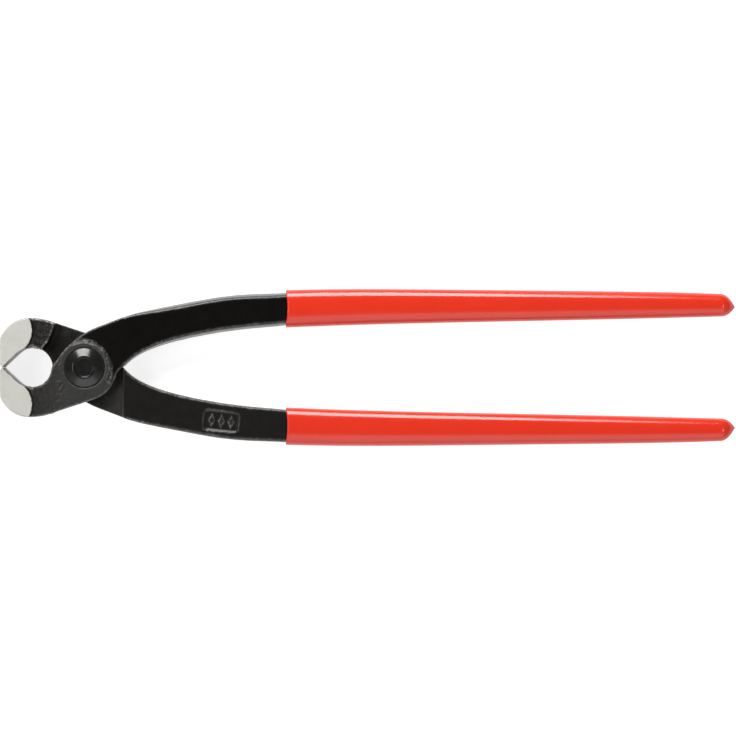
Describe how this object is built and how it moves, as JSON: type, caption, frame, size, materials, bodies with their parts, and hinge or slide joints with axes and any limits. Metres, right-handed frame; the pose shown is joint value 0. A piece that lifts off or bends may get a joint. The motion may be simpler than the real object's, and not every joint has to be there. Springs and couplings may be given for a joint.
{
  "type": "fencing pliers",
  "caption": "Long-handled end-cutting pincers for fence and vineyard wire: a riveted lap joint, a round throat behind ground cutting edges, and dipped sleeves on both handles.",
  "frame": {"origin": "where the pivot axis meets the plane of the rear jaw sides and of the rivet's formed head", "axes": "+X from the pivot to the handle ends, +Y across the tool towards the handle of the front lever, +Z along the pivot axis from the rivet's formed head to its dished head"},
  "size_m": [0.2802, 0.06, 0.02],
  "materials": {
    "forged_steel": "satin black oxide on the forged skin, ground bright on the jaw sides",
    "rivet_steel": "satin black oxide",
    "dipped_sleeve": "glossy dipped vinyl"
  },
  "bodies": {
    "rear_lever_body": {"rear_lever": "forged_steel", "pivot_rivet": "rivet_steel", "lower_grip": "dipped_sleeve"},
    "front_lever_body": {"front_lever": "forged_steel", "upper_grip": "dipped_sleeve"}
  },
  "joints": [
    {"name": "pivot", "type": "hinge", "parent": "rear_lever_body", "child": "front_lever_body", "pos_m": [0, 0, 0.01], "axis": [0, 0, 1], "range_deg": [0, 50]}
  ]
}
